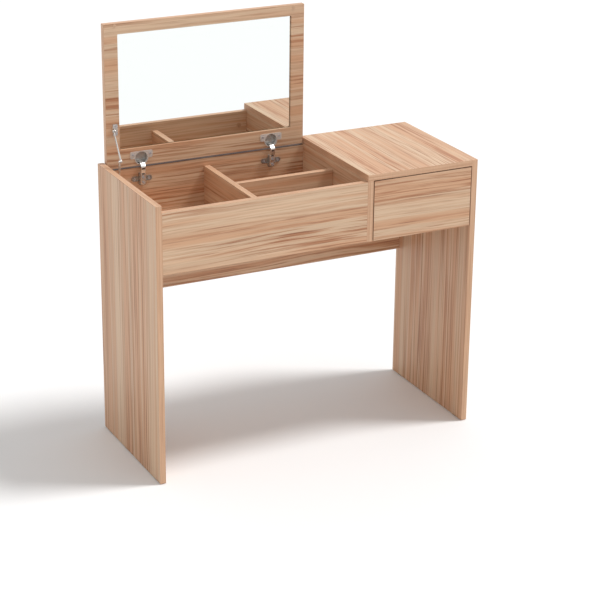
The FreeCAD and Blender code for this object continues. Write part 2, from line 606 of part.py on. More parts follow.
def hinge_plate(name, x, arm_screws):
    """Cross-shaped mounting plate on the rear panel's inner face, its wings dished inside a raised rim."""
    z = PLATE_Z
    half_wing = PLATE_WING_WIDTH / 2
    half_rail = PLATE_RAIL_WIDTH / 2
    half_height = PLATE_WING_HEIGHT / 2
    wing_face = REAR_IN - PLATE_WING_THICK
    wings = box(x - half_wing, x + half_wing, wing_face, REAR_IN, z - half_height, z + half_height)
    wings = wings.makeFillet(PLATE_WING_CORNER, edges_along_y(wings, PLATE_WING_THICK))
    rail = box(x - half_rail, x + half_rail, REAR_IN - PLATE_RAIL_THICK, REAR_IN,
               z - PLATE_RAIL_HEIGHT / 2, z + PLATE_RAIL_HEIGHT / 2)
    rail = rail.makeFillet(PLATE_RAIL_CORNER, edges_along_y(rail, PLATE_RAIL_THICK))
    seat = wing_face + PLATE_WING_DISH
    reach = half_wing - PLATE_WING_RIM
    rise = half_height - PLATE_WING_RIM
    dish = box(x - reach, x + reach, wing_face - 1, seat, z - rise, z + rise)
    dish = dish.makeFillet(PLATE_WING_CORNER - PLATE_WING_RIM, edges_along_y(dish, PLATE_WING_DISH + 1))
    cuts = []
    screws = []
    for side in (-1, 1):
        at = V(x + side * PLATE_SCREW_SPACING / 2, seat, z)
        screws.append(screw(at, Y_AXIS, PLATE_SCREW_LENGTH))
        hole = screw_hole(at, Y_AXIS, PLATE_SCREW_LENGTH)
        cuts.append(hole)
        bore("rear_panel", hole)
    for dz in ARM_SCREWS:
        cuts.append(screw_hole(V(x, REAR_IN - PLATE_RAIL_THICK, z + dz), Y_AXIS, ARM_SCREW_IN_PLATE))
    nodes[name] = wings.cut(dish).fuse(rail).removeSplitter().cut(cuts)
    return screws + arm_screws


def hinges():
    cup_screws = []
    fixed_screws = []
    pins = []
    for side, x in zip(("left", "right"), HINGE_XS):
        cup_screws += hinge_cup(side + "_hinge_cup", x)
        arm_screws = hinge_arm(side + "_hinge_arm", x)
        fixed_screws += hinge_plate(side + "_hinge_plate", x, arm_screws)
        half = pin_half_length()
        pins.append(rod(V(x - half, PIN_Y, PIN_Z), X_AXIS, 2 * half, PIN_RADIUS))
    group("hinge_pins", pins)
    group("hinge_cup_screws", cup_screws)
    group("hinge_plate_screws", fixed_screws)


# ---- lid stay ------------------------------------------------------------------------------------
def rivet(x0, x1, centre, collars=()):
    """A rivet along X between x0 and x1 with a head at each end; `collars` adds no-gap spacers."""
    y, z = centre
    shank = rod(V(x0, y, z), X_AXIS, x1 - x0, STAY_RIVET_RADIUS)
    heads = [
        rod(V(x0 - STAY_HEAD_THICK, y, z), X_AXIS, STAY_HEAD_THICK, STAY_HEAD_RADIUS),
        rod(V(x1, y, z), X_AXIS, STAY_HEAD_THICK, STAY_HEAD_RADIUS),
    ]
    return shank.fuse(heads + list(collars)).removeSplitter()


def lid_stay():
    """Two-link stay in a plane beside the left panel. Its links copy the lid's motion as a parallelogram."""
    low_x0 = IN_LEFT + STAY_X
    low_x1 = low_x0 + STAY_ARM_THICK
    up_x0 = low_x1 + STAY_AIR
    up_x1 = up_x0 + STAY_ARM_THICK
    lug_x0 = up_x1 + STAY_AIR
    lug_x1 = lug_x0 + STAY_PLATE_THICK
    wide = STAY_WIDE / 2
    narrow = STAY_NARROW / 2
    turning = STAY_RIVET_RADIUS + RUNNING_CLEAR

    lower = bar((STAY_B, STAY_E), (wide, wide), low_x0, STAY_ARM_THICK)
    for y, z in (STAY_B, STAY_E):
        lower = lower.cut(rod(V(low_x0 - 1, y, z), X_AXIS, STAY_ARM_THICK + 2, turning))
    nodes["stay_lower_arm"] = lower

    upper = bar((STAY_E, STAY_A), (wide, narrow), up_x0, STAY_ARM_THICK)
    eye = rod(V(up_x0, STAY_A[0], STAY_A[1]), X_AXIS, STAY_ARM_THICK, STAY_EYE)
    upper = upper.fuse(eye).removeSplitter()
    upper = upper.cut([
        rod(V(up_x0 - 1, STAY_A[0], STAY_A[1]), X_AXIS, STAY_ARM_THICK + 2, turning),
        rod(V(up_x0 - 1, STAY_E[0], STAY_E[1]), X_AXIS, STAY_ARM_THICK + 2, STAY_RIVET_RADIUS),
    ])
    nodes["stay_upper_arm"] = upper

    gap = STAY_AIR
    collar = rod(V(low_x1 + gap / 2, STAY_E[0], STAY_E[1]), X_AXIS, gap / 2, STAY_COLLAR)
    nodes["stay_elbow_rivet"] = rivet(low_x0 - gap, up_x1, STAY_E, [collar])
    nodes["stay_lid_rivet"] = rivet(up_x0 - gap, lug_x1, STAY_A)
    nodes["stay_side_rivet"] = rivet(low_x0 - STAY_RIVET_IN_POST, low_x1 + gap, STAY_B)

    # bracket on the lid: a base on the mirror face and a lug that holds the upper rivet
    y, z = STAY_A
    low = z - STAY_BASE_HALF
    high = z + STAY_BASE_HALF
    base = box(lug_x0, lug_x0 + STAY_BASE_WIDTH, LID_FACE - STAY_PLATE_THICK, LID_FACE, low, high)
    free = [e for e in edges_along_y(base, STAY_PLATE_THICK) if e.BoundBox.XMin > lug_x0 + TINY]
    base = base.makeFillet(STAY_BASE_CORNER, free)
    lug_half = wide + STAY_LUG_RIM
    lug = rod(V(lug_x0, y, z), X_AXIS, STAY_PLATE_THICK, lug_half)
    lug = lug.fuse(box(lug_x0, lug_x1, y, LID_FACE, z - lug_half, z + lug_half))
    cuts = [rod(V(lug_x0 - 1, y, z), X_AXIS, STAY_PLATE_THICK + 2, STAY_RIVET_RADIUS)]
    lid_screws = []
    for dz in (-STAY_BASE_SCREW_Z, STAY_BASE_SCREW_Z):
        at = V(lug_x0 + STAY_BASE_SCREW_X, LID_FACE - STAY_PLATE_THICK, z + dz)
        lid_screws.append(screw(at, Y_AXIS, STAY_LID_SCREW, head=STAY_SCREW_HEAD))
        hole = screw_hole(at, Y_AXIS, STAY_LID_SCREW)
        cuts.append(hole)
        bore("lid_board", hole)
    nodes["stay_lid_bracket"] = base.fuse(lug).removeSplitter().cut(cuts)
    group("stay_lid_screws", lid_screws)

    # bracket on the left panel: a base and a post that holds the lower rivet
    y, z = STAY_B
    half_y = STAY_FOOT_HALF_WIDTH
    half_z = STAY_FOOT_HALF_HEIGHT
    foot_face = IN_LEFT + STAY_PLATE_THICK
    base = box(IN_LEFT, foot_face, y - half_y, y + half_y, z - half_z, z + half_z)
    corners = [e for e in base.Edges if abs(e.BoundBox.XLength - STAY_PLATE_THICK) < TINY]
    base = base.makeFillet(STAY_FOOT_CORNER, corners)
    post_end = low_x0 - gap
    post = rod(V(IN_LEFT, y, z), X_AXIS, post_end - IN_LEFT, STAY_POST_RADIUS)
    head_x0 = low_x0 - STAY_RIVET_IN_POST - STAY_HEAD_THICK
    seat = rod(V(head_x0, y, z), X_AXIS, post_end - head_x0, STAY_RIVET_RADIUS)
    head_room = rod(V(head_x0, y, z), X_AXIS, STAY_HEAD_THICK, STAY_HEAD_RADIUS)
    cuts = [seat, head_room]
    side_screws = []
    for dz in (-STAY_FOOT_SCREW_Z, STAY_FOOT_SCREW_Z):
        at = V(foot_face, y, z + dz)
        side_screws.append(screw(at, X_AXIS * -1, STAY_SIDE_SCREW, head=STAY_SCREW_HEAD))
        hole = screw_hole(at, X_AXIS * -1, STAY_SIDE_SCREW)
        cuts.append(hole)
        bore("left_side_panel", hole)
    nodes["stay_side_bracket"] = base.fuse(post).removeSplitter().cut(cuts)
    group("stay_side_screws", side_screws)


# ---- drawer --------------------------------------------------------------------------------------
def drawer():
    x0 = DIVIDER_RIGHT + DRAWER_GAP
    x1 = IN_RIGHT - DRAWER_GAP
    board("drawer_front", x0, x1, FRONT, FRONT_IN, PANEL_LOW, UNDER_TOP - DRAWER_GAP)
    box_left = DIVIDER_RIGHT + SLIDE_WIDTH
    box_right = IN_RIGHT - SLIDE_WIDTH
    low = PANEL_LOW + DRAWER_BOX_LIFT
    high = low + DRAWER_BOX_HEIGHT
    rear = FRONT_IN + DRAWER_BOX_DEPTH
    board("drawer_left_side", box_left, box_left + DRAWER_SIDE, FRONT_IN, rear, low, high)
    board("drawer_right_side", box_right - DRAWER_SIDE, box_right, FRONT_IN, rear, low, high)
    in_left = box_left + DRAWER_SIDE
    in_right = box_right - DRAWER_SIDE
    board("drawer_back", in_left, in_right, rear - DRAWER_SIDE, rear, low, high)

    z0 = low + DRAWER_BOTTOM_LIFT
    z1 = z0 + DRAWER_BOTTOM
    reach = DRAWER_GROOVE - GROOVE_END_AIR
    nodes["drawer_bottom"] = box(in_left - reach, in_right + reach, FRONT_IN - reach,
                                 rear - DRAWER_SIDE + reach, z0, z1)
    c = GROOVE_CLEAR
    g = DRAWER_GROOVE
    groove = box(in_left - g, in_right + g, FRONT_IN - g, rear - DRAWER_SIDE + g, z0 - c, z1 + c)
    for name in ("drawer_front", "drawer_left_side", "drawer_right_side", "drawer_back"):
        bore(name, groove)

    cams = []
    bolts = []
    screws = []
    half = DRAWER_SIDE / 2
    left_side = (box_left + half, "drawer_left_side", X_AXIS)
    right_side = (box_right - half, "drawer_right_side", X_AXIS * -1)
    for x, name, face in (left_side, right_side):
        for z in (low + DRAWER_FASTENER_LOW, high - DRAWER_FASTENER_HIGH):
            cam, bolt = cam_joint(name, "drawer_front", V(x, FRONT_IN, z), Y_AXIS, face,
                                  height=DRAWER_SIDE - DRAWER_CAM_WALL, half=half)
            cams.append(cam)
            bolts.append(bolt)
            under_head = V(x, rear - half, z) - face * (half - SCREW_HEAD_THICK)
            screws.append(screw(under_head, face, DRAWER_SCREW_LENGTH))
            bore(name, rod(under_head, face * -1, SCREW_HEAD_THICK, SCREW_HEAD_RADIUS + HOLE_CLEAR))
            hole = screw_hole(under_head, face, DRAWER_SCREW_LENGTH)
            bore(name, hole)
            bore("drawer_back", hole)
    group("drawer_cam_locks", cams)
    group("drawer_cam_bolts", bolts)
    group("drawer_back_screws", screws)


def channel(wall, inward, web, height, reach, y0):
    """A steel channel along Y: its web starts `web` from the wall and its flanges end `reach` from the wall.

    `inward` is +1 or -1 along X, away from the wall. Where `reach` is under `web`, the flanges point back."""
    web_far = web + SLIDE_STEEL
    near = min(web, reach)
    far = max(web_far, reach)
    open_near = near - 1 if reach < web else web_far
    open_far = web if reach < web else far + 1
    z0 = SLIDE_Z - height / 2
    z1 = SLIDE_Z + height / 2

    def span(a, b, c, d):
        xs = sorted((wall + inward * a, wall + inward * b))
        return box(xs[0], xs[1], y0, y0 + SLIDE_LENGTH, c, d)

    outer = span(near, far, z0, z1)
    return outer.cut(span(open_near, open_far, z0 + SLIDE_STEEL, z1 - SLIDE_STEEL))


def drawer_slides():
    """Two three-member ball slides. The middle members travel half as far as the drawer."""
    gap = 2 * (BALL_RADIUS + BALL_AIR)
    outer_height = SLIDE_HEIGHT
    mid_height = outer_height - 2 * (SLIDE_STEEL + gap)
    inner_height = mid_height - 2 * (SLIDE_STEEL + gap)
    mid_web = SLIDE_STEEL + SLIDE_WEB_AIR
    inner_web = SLIDE_WIDTH - SLIDE_STEEL
    flange_end = inner_web - SLIDE_WEB_AIR
    inner_flange_end = mid_web + SLIDE_STEEL + SLIDE_WEB_AIR
    ball_x = (mid_web + SLIDE_STEEL + flange_end) / 2
    half = SLIDE_LENGTH / 2
    balls = []
    cabinet_screws = []
    drawer_screws = []
    walls = (("left", DIVIDER_RIGHT, 1, "drawer_divider", "drawer_left_side"),
             ("right", IN_RIGHT, -1, "right_side_panel", "drawer_right_side"))
    for side, wall, inward, host, drawer_side in walls:
        outer = channel(wall, inward, 0.0, outer_height, flange_end, SLIDE_FRONT)
        middle = channel(wall, inward, mid_web, mid_height, flange_end, SLIDE_FRONT)
        inner = channel(wall, inward, inner_web, inner_height, inner_flange_end, SLIDE_FRONT)
        into_wall = X_AXIS * -inward
        into_drawer = X_AXIS * inward
        cabinet_seat = wall + inward * (SLIDE_STEEL - SLIDE_SCREW_HEAD_THICK)
        drawer_seat = wall + inward * (inner_web + SLIDE_SCREW_HEAD_THICK)
        for share in SLIDE_CABINET_SHARES:
            at = V(cabinet_seat, SLIDE_FRONT + SLIDE_LENGTH * share, SLIDE_Z)
            cabinet_screws.append(screw_flush(at, into_wall, SLIDE_CABINET_SCREW))
            hole = flush_hole(at, into_wall, SLIDE_CABINET_SCREW)
            outer = outer.cut(hole)
            bore(host, hole)
        for share in SLIDE_DRAWER_SHARES:
            at = V(drawer_seat, SLIDE_FRONT + SLIDE_LENGTH * share, SLIDE_Z)
            drawer_screws.append(screw_flush(at, into_drawer, SLIDE_DRAWER_SCREW))
            hole = flush_hole(at, into_drawer, SLIDE_DRAWER_SCREW)
            inner = inner.cut(hole)
            bore(drawer_side, hole)
        nodes[side + "_slide_outer"] = outer
        nodes[side + "_slide_middle"] = middle
        nodes[side + "_slide_inner"] = inner
        step = (half - 2 * BALL_END) / (BALLS_IN_ROW - 1)
        for i in range(BALLS_IN_ROW):
            x = wall + inward * ball_x
            for sign in (-1, 1):
                z = SLIDE_Z + sign * (outer_height / 2 - SLIDE_STEEL - gap / 2)
                y = SLIDE_FRONT + half + BALL_END + i * step
                balls.append(Part.makeSphere(BALL_RADIUS, V(x, y, z)))
                z = SLIDE_Z + sign * (mid_height / 2 - SLIDE_STEEL - gap / 2)
                y = SLIDE_FRONT + BALL_END + i * step
                balls.append(Part.makeSphere(BALL_RADIUS, V(x, y, z)))
    group("slide_balls", balls)
    group("slide_cabinet_screws", cabinet_screws)
    group("slide_drawer_screws", drawer_screws)


def screw_flush(at, into, length):
    """A flat-headed screw whose head lies within the steel, with its underside at `at`."""
    head = rod(at, into * -1, SLIDE_SCREW_HEAD_THICK, SLIDE_SCREW_HEAD_RADIUS)
    return head.fuse(rod(at, into, length, SLIDE_SCREW_RADIUS)).removeSplitter()


def flush_hole(at, into, length):
    """The stepped hole for such a screw, open past the head's face."""
    head = rod(at, into * -1, SLIDE_SCREW_HEAD_THICK + SLIDE_HEAD_AIR, SLIDE_SCREW_HEAD_RADIUS + HOLE_CLEAR)
    return head.fuse(rod(at, into, length + HOLE_CLEAR, SLIDE_SCREW_RADIUS + HOLE_CLEAR))


# ---- build ---------------------------------------------------------------------------------------
def build():
    carcass()
    foot_glides()
    carcass_joints()
    lid()
    hinges()
    lid_stay()
    drawer()
    drawer_slides()
    for name, tools in holes.items():
        if tools:
            nodes[name] = nodes[name].cut(tools)
    os.makedirs("parts", exist_ok=True)
    for name, shape in nodes.items():
        if not shape.isValid():
            raise ValueError(name + " is not a valid shape")
        shape.exportStep("parts/" + name + ".step")
        print(name, len(shape.Solids), "solids, volume", round(shape.Volume / 1000, 2), "cm3")


build()
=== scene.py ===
"""Looks of a vanity table whose lid holds a mirror, laid over its frame: laminate, glass, steel, light.

Everything is in metres in the frame's own axes: X runs to the drawer's side, the front faces -Y, +Z is up.
"""

import json
import math

import bpy
import numpy as np
from mathutils import Matrix, Vector


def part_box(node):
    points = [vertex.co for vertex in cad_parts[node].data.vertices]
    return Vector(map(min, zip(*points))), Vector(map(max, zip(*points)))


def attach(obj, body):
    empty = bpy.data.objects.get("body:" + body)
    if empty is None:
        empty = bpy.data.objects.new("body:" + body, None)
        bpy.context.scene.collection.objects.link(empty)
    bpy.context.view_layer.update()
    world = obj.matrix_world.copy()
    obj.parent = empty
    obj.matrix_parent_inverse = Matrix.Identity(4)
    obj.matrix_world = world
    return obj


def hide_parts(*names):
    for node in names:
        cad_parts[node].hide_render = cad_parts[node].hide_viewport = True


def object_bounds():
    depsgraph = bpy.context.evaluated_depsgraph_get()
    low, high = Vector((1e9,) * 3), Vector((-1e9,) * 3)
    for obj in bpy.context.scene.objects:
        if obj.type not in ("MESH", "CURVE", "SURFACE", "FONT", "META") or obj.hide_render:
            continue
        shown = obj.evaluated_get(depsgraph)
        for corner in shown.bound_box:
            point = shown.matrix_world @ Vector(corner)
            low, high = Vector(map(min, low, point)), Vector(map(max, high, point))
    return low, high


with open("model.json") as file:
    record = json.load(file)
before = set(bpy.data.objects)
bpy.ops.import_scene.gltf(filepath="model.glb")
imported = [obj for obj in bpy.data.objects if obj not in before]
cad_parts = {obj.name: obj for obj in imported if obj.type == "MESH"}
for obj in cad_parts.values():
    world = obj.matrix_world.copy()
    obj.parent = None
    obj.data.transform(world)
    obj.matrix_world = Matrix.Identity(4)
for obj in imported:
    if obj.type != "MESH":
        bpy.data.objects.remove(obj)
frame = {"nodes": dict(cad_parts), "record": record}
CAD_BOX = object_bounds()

bl_info = {
    "name": "Vanity Table Looks",
    "version": (1, 0, 0),
    "blender": (4, 5, 0),
    "location": "3D View > Sidebar > Vanity",
    "description": "Finishes and fine hardware of a vanity table with a mirror lid",
    "category": "Object",
}

MM = 0.001


def srgb(red, green, blue):
    """A colour given in 0 to 255 steps on a screen, as the linear light that shaders use."""
    steps = np.array([red, green, blue]) / 255
    return tuple(np.where(steps <= 0.04045, steps / 12.92, ((steps + 0.055) / 1.055) ** 2.4).tolist())


# ---- settings ------------------------------------------------------------------------------------------
def colour(name, description, default):
    return bpy.props.FloatVectorProperty(
        name=name, description=description, subtype="COLOR", size=3, min=0, max=1, default=default)


def length(name, description, default):
    return bpy.props.FloatProperty(
        name=name, description=description, default=default, min=0, subtype="DISTANCE", unit="LENGTH")


def share(name, description, default):
    return bpy.props.FloatProperty(
        name=name, description=description, default=default, min=0, max=1, subtype="FACTOR")


class LaminateSettings(bpy.types.PropertyGroup):
    """The printed wood grain of the boards."""

    pale: colour("Pale wood", "Widest bands between the streaks", srgb(219, 188, 157))
    tan: colour("Tan wood", "Bands a little deeper than the pale ones", srgb(210, 165, 130))
    ash: colour("Ash wood", "Cooler bands", srgb(205, 173, 143))
    streak: colour("Streak", "Reddish streaks along the grain", srgb(176, 120, 84))
    vein: colour("Vein", "Thin dark lines inside the streaks", srgb(132, 80, 54))
    band: colour("Edge band", "Strips glued round the boards' edges", srgb(213, 172, 139))
    band_deep: colour("Edge band grain", "Darker lines in the edge strips", srgb(188, 142, 110))
    # bare board on hidden edges, dark as painted shade where the rear panel's top shows through the gap
    # under the lid
    raw_edge_and_gap_shade: colour("Raw edge", "Bare board where an edge is hidden", srgb(118, 82, 58))
    raw_chips_and_gap_shade: colour("Raw edge chips", "Darker chips in the bare board", srgb(84, 58, 40))
    # painted shade: the drawer front's edge strips are darkened to stand for the shadowed gaps round it
    front_band_gap_shade: colour("Drawer front's band", "Deeper strips round the drawer's front", srgb(152, 112, 83))
    front_band_gap_shade_grain: colour("Drawer front's band grain", "Darker lines in those strips", srgb(126, 90, 65))
    zone_width: length("Zone width", "Usual width of a zone in which streaks gather", 85 * MM)
    band_width: length("Band width", "Usual width of a pale or tan band", 32 * MM)
    streak_width: length("Streak width", "Usual width of a reddish streak", 6.5 * MM)
    line_width: length("Line width", "Usual width of the fine lines all over", 2.4 * MM)
    wander: length("Wander", "How far a streak strays sideways", 14 * MM)
    upright_run: share("Upright run", "Less gives longer streaks on standing boards", 0.5)
    edge_skin: length("Edge skin", "Depth that an edge strip covers of the face beside it", 0.8 * MM)
    roughness: share("Roughness", "Matt sheen of the film", 0.46)


class MetalSettings(bpy.types.PropertyGroup):
    """The plated steel of hinges, stay, slides and fasteners."""

    nickel: colour("Nickel", "Hinges", srgb(228, 226, 222))
    stay: colour("Stay steel", "Links of the lid's stay", srgb(206, 203, 199))
    zinc: colour("Zinc", "Screws and cam locks", srgb(200, 203, 208))
    rolled: colour("Rolled steel", "Drawer slides", srgb(176, 180, 186))
    nickel_roughness: share("Nickel roughness", "Polish of the nickel plate", 0.24)
    zinc_roughness: share("Zinc roughness", "Polish of the zinc plate", 0.34)


class StageSettings(bpy.types.PropertyGroup):
    """Floor, light and camera."""

    floor: colour("Floor", "Plain pale floor", srgb(247, 247, 247))
    key_strength: bpy.props.FloatProperty(
        name="Key light", description="Strength of the broad light at the upper right", default=2.1, min=0)
    key_spread: bpy.props.FloatProperty(
        name="Key spread", description="Breadth of the key light, in degrees", default=14.0, min=0)
    room_light: bpy.props.FloatProperty(
        name="Room light", description="Soft light from all round", default=0.585, min=0)
    lens: bpy.props.FloatProperty(
        name="Lens", description="Focal length of the camera", default=115.66, min=10,
        subtype="DISTANCE_CAMERA")


# ---- shaders -------------------------------------------------------------------------------------------
class Wire:
    """A shader output that does arithmetic: each operator adds one Math node and gives its output."""

    def __init__(self, finish, socket):
        self.finish = finish
        self.socket = socket

    def math(self, operation, *values):
        return self.finish.node("ShaderNodeMath", {"operation": operation}, dict(enumerate(values)))

    def __add__(self, other):
        return self.math("ADD", self, other)

    def __radd__(self, other):
        return self.math("ADD", other, self)

    def __sub__(self, other):
        return self.math("SUBTRACT", self, other)

    def __rsub__(self, other):
        return self.math("SUBTRACT", other, self)

    def __mul__(self, other):
        return self.math("MULTIPLY", self, other)

    def __rmul__(self, other):
        return self.math("MULTIPLY", other, self)

    def __abs__(self):
        return self.math("ABSOLUTE", self)

    def larger(self, other):
        return self.math("MAXIMUM", self, other)

    def rise(self, low, high):
        """0 below `low`, 1 above `high`, a smooth step between; it falls where low is above high."""
        settings = {"interpolation_type": "SMOOTHSTEP"}
        return self.finish.node("ShaderNodeMapRange", settings, {0: self, 1: low, 2: high, 3: 0.0, 4: 1.0})


class Finish:
    """A material in the making. `node` adds any node; `end` joins the values to its one surface shader."""

    def __init__(self, name):
        self.material = bpy.data.materials.new(name)
        self.material.use_nodes = True
        self.tree = self.material.node_tree
        self.tree.nodes.clear()
        place = self.tree.nodes.new("ShaderNodeTexCoord").outputs["Object"]
        self.place = Wire(self, place)
        split = self.tree.nodes.new("ShaderNodeSeparateXYZ")
        self.tree.links.new(place, split.inputs[0])
        self.x, self.y, self.z = (Wire(self, split.outputs[i]) for i in range(3))

    def put(self, socket, value):
        if isinstance(value, Wire):
            self.tree.links.new(value.socket, socket)
        elif hasattr(value, "__len__") and socket.type == "RGBA" and len(value) == 3:
            socket.default_value = (*value, 1.0)
        else:
            socket.default_value = value

    def node(self, kind, settings=None, values=None, output=0):
        """A node of this type, with its settings made first and then its sockets' values or links."""
        made = self.tree.nodes.new(kind)
        for key, value in (settings or {}).items():
            setattr(made, key, value)
        for key, value in (values or {}).items():
            self.put(made.inputs[key], value)
        return Wire(self, made.outputs[output])

    def vector(self, x, y, z):
        return self.node("ShaderNodeCombineXYZ", values={0: x, 1: y, 2: z})

    def noise(self, where, scale=1.0, detail=2.0, roughness=0.5):
        """Smooth random values around a half, at this scale."""
        values = {"Vector": where, "Scale": scale, "Detail": detail, "Roughness": roughness}
        return self.node("ShaderNodeTexNoise", values=values)

    def mix(self, factor, first, second, blend="MIX"):
        settings = {"data_type": "RGBA", "blend_type": blend}
        return self.node("ShaderNodeMix", settings, {0: factor, 6: first, 7: second}, output=2)

    def bump(self, height, distance, strength=1.0):
        values = {"Height": height, "Distance": distance, "Strength": strength}
        return self.node("ShaderNodeBump", values=values)

    def end(self, **values):
        """One Principled shader with these sockets, named with underscores for spaces."""
        shader = self.tree.nodes.new("ShaderNodeBsdfPrincipled")
        for key, value in values.items():
            self.put(shader.inputs[key.replace("_", " ")], value)
        out = self.tree.nodes.new("ShaderNodeOutputMaterial")
        self.tree.links.new(shader.outputs[0], out.inputs[0])
        return self.material


BOARD_STEP = (3.7, 1.3)  # how far apart the boards' stretches of print lie, along and across the grain
SLOW_BEND = (1.6, 2.5)  # waves per metre of the streaks' wander, along and across
QUICK_BEND = (7.0, 14.0)
QUICK_SHARE = 0.3
FIBRE_WIDTH = 0.9 * MM
STRIP_RUN = 4.0  # waves per metre of an edge strip's lines, round the board
TAN_STEP = (0.4, 0.6)  # where in its noise a layer starts to show, and where it is full
ASH_STEP = (0.5, 0.66)
ZONE_STEP = (0.38, 0.62)
STREAK_STEP = (0.45, 0.61)
VEIN_STEP = (0.52, 0.67)
STRIP_STEP = (0.42, 0.66)
ASH_SHARE = 0.55
STREAK_SHARE = 0.95
STRIP_SHARE = 0.8
GLUE_SHARE = 0.45


def laminate(name, low, high, grain, seed, settings, strip=None, relief=None):
    """Printed wood grain on a board with these corners, `grain` its axis (0, 1 or 2).

    The place across the grain is bent by slow noise, so that streaks wander. Noise stretched far along the
    grain then gives bands, streaks, veins, lines and fibres, each narrower than the last, and streaks are
    strongest inside wide zones. Within a thin skin of the board's edges the colour changes to the edge
    strip's, whose own lines run round the board, with a faint glue line beside it. `strip` gives that
    strip two colours of its own, which carry painted shade: on the drawer's front for the gaps round it,
    and on the rear panel bare board darkened for the gap under the lid. It also covers a `relief`, a cut in
    the top edge, given as its height and its right end, so that this painted shade lies on the cut's top.
    """
    finish = Finish(name)
    size = high - low
    thin = min(range(3), key=lambda axis: size[axis])
    face = [axis for axis in range(3) if axis != thin]
    cross = face[0] if face[1] == grain else face[1]
    at = (finish.x, finish.y, finish.z)
    along = (at[grain] + seed * BOARD_STEP[0]) * (settings.upright_run if grain == 2 else 1.0)
    across = at[cross] + seed * BOARD_STEP[1]

    def waves(rate, layer):
        where = finish.vector(along * rate[0], across * rate[1], seed + layer)
        return finish.noise(where, detail=1.0) - 0.5

    slow = waves(SLOW_BEND, 0.0) * (2.0 * settings.wander)
    bent = across + slow + waves(QUICK_BEND, 5.0) * (QUICK_SHARE * settings.wander)

    def stripes(width, stretch, layer, detail=2.0, roughness=0.5):
        where = finish.vector(along * stretch, bent * (1 / width), seed + layer)
        return finish.noise(where, detail=detail, roughness=roughness)

    zones = stripes(settings.zone_width, 0.9, 7.0, detail=1.0)
    bands = stripes(settings.band_width, 0.8, 11.0)
    cool = stripes(settings.band_width * 0.8, 1.0, 23.0)
    streaks = stripes(settings.streak_width, 3.6, 37.0, detail=3.0, roughness=0.6)
    veins = stripes(settings.streak_width * 0.35, 5.5, 41.0, detail=3.0, roughness=0.65)
    lines = stripes(settings.line_width, 4.5, 61.0, detail=3.0, roughness=0.6)
    fibres = stripes(FIBRE_WIDTH, 24.0, 53.0, detail=3.0, roughness=0.7)

    wood = finish.mix(bands.rise(*TAN_STEP), settings.pale, settings.tan)
    wood = finish.mix(cool.rise(*ASH_STEP) * ASH_SHARE, wood, settings.ash)
    gathered = zones.rise(*ZONE_STEP) * 0.7 + 0.3
    depth = streaks.rise(*STREAK_STEP) * gathered
    wood = finish.mix(depth * STREAK_SHARE, wood, settings.streak)
    wood = finish.mix(veins.rise(*VEIN_STEP) * (0.16 + depth * 0.8), wood, settings.vein)

    middle = [(low[axis] + high[axis]) / 2 for axis in range(3)]
    gaps = [size[axis] / 2 - abs(at[axis] - middle[axis]) for axis in face]
    first = gaps[0].math("LESS_THAN", *gaps)
    round_board = at[face[1]] * first + at[face[0]] * (1 - first)
    on_strip = finish.vector(round_board * STRIP_RUN, at[thin] * (1 / settings.line_width), seed + 71.0)
    rim_grain = finish.noise(on_strip, detail=3.0)
    rim_colours = strip or (settings.band, settings.band_deep)
    rim = finish.mix(rim_grain.rise(*STRIP_STEP) * STRIP_SHARE, *rim_colours)
    inset = gaps[0].math("MINIMUM", *gaps)
    skin = settings.edge_skin * (0.5 if strip else 1.0)
    on_rim = inset.rise(skin * 1.15, skin * 0.85)
    glue = inset.rise(skin * 1.6, skin * 1.2) - on_rim
    # painted shade: the top of the cut under the lid takes the strip's dark colours, for the shadowed gap
    if relief:
        height, end = relief
        cut = finish.z.rise(height - 0.5 * MM, height - 0.2 * MM) * finish.x.rise(end, end - MM)
        on_rim = on_rim.larger(cut)
    wood = finish.mix(on_rim, wood, rim)
    wood = finish.mix(glue * GLUE_SHARE, wood, settings.vein)
    tone = finish.vector(*[0.8 + lines * 0.33 + fibres * 0.07] * 3)
    wood = finish.mix(1.0, wood, tone, blend="MULTIPLY")

    return finish.end(
        Base_Color=wood,
        Roughness=settings.roughness - 0.04 + fibres * 0.1,
        Normal=finish.bump(fibres, 0.06 * MM, 0.5),
        Specular_IOR_Level=0.4,
    )


PATCH_SCALE = 55.0
MARK_SCALE = 900.0
BRUSH_SCALE = (2600.0, 60.0)  # of the brushed lines, across them and along
PATCH_DARK = 0.72
# the dark tint towards which painted shade darkens the plated steel
SHADE_TINT = srgb(84, 78, 72)


def plated(name, tint, roughness, brushed=0.0, gloss=0.7, painted_shade=None):
    """Plated steel: polish that changes in soft patches, faint handling marks and, if brushed, fine lines.

    `gloss` is the share of clean mirror-like plate; the rest scatters light as a satin plate does. The last
    argument takes the finish and gives how far painted shade darkens the plate, from 0 to 1: in recesses
    and slots, and over a whole plate.
    """
    finish = Finish(name)
    patches = finish.noise(finish.place, scale=PATCH_SCALE, detail=3.0)
    marks = finish.noise(finish.place, scale=MARK_SCALE, detail=4.0, roughness=0.7)
    fine, long = BRUSH_SCALE
    lines = finish.noise(finish.vector(finish.x * fine, finish.y * fine, finish.z * long), detail=2.0)
    base = finish.mix(patches.rise(0.35, 0.7) * 0.25, tint, tuple(c * PATCH_DARK for c in tint))
    # painted shade: the plate is darkened towards the shade tint as far as the mask says
    if painted_shade:
        base = finish.mix(painted_shade(finish) * 0.85, base, SHADE_TINT)
    height = marks * (1 - brushed) + lines * brushed
    return finish.end(
        Base_Color=base,
        Metallic=gloss,
        Roughness=roughness - 0.06 + patches * 0.12 + marks * 0.05,
        Normal=finish.bump(height, 0.02 * MM, 0.35),
    )


